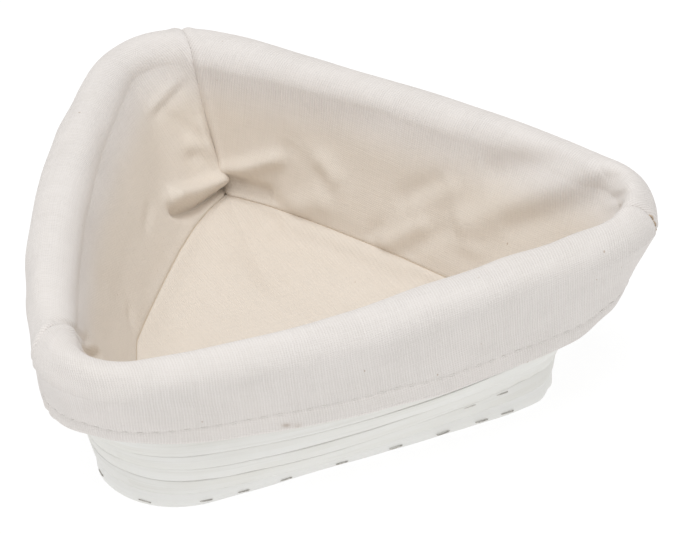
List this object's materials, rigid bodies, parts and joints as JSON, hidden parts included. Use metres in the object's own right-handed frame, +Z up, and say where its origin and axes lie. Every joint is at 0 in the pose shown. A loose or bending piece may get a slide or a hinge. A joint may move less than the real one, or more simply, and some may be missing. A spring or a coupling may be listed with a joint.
{
  "type": "banneton basket",
  "caption": "Rounded triangular bread proofing basket of coiled cane with a removable elastic-hemmed cotton liner.",
  "frame": {"origin": "middle of the underside, on the table, on the axis through the three-cornered plan", "axes": "+Z up, out of the open mouth; the flat front side faces -Y and one rounded corner points to +Y"},
  "size_m": [0.243, 0.2289, 0.0742],
  "materials": {
    "cane": "pale whitened cane, satin",
    "staple_wire": "dull grey wire",
    "cotton": "unbleached cotton canvas, matte",
    "thread": "off-white sewing thread",
    "elastic": "white covered elastic"
  },
  "bodies": {
    "basket": {"wall_coil_01": "cane", "wall_coil_02": "cane", "wall_coil_03": "cane", "wall_coil_04": "cane", "wall_coil_05": "cane", "wall_coil_06": "cane", "wall_coil_07": "cane", "wall_coil_08": "cane", "wall_coil_09": "cane", "base_coil_01": "cane", "base_coil_02": "cane", "base_coil_03": "cane", "base_coil_04": "cane", "base_coil_05": "cane", "base_coil_06": "cane", "base_coil_07": "cane", "base_centre_cane": "cane", "base_staples": "staple_wire", "wall_staples": "staple_wire"},
    "liner": {"liner_floor": "cotton", "front_liner_panel": "cotton", "right_liner_panel": "cotton", "left_liner_panel": "cotton", "right_corner_seam_thread": "thread", "back_corner_seam_thread": "thread", "left_corner_seam_thread": "thread", "floor_seam_thread": "thread", "hem_elastic": "elastic", "hem_stitching": "thread"}
  },
  "joints": [
    {"name": "liner_lift", "type": "slide", "parent": "basket", "child": "liner", "axis": [0, 0, 1], "range_m": [0, 0.12], "deforming": ["front_liner_panel", "right_liner_panel", "left_liner_panel", "right_corner_seam_thread", "back_corner_seam_thread", "left_corner_seam_thread", "hem_elastic", "hem_stitching"]}
  ]
}
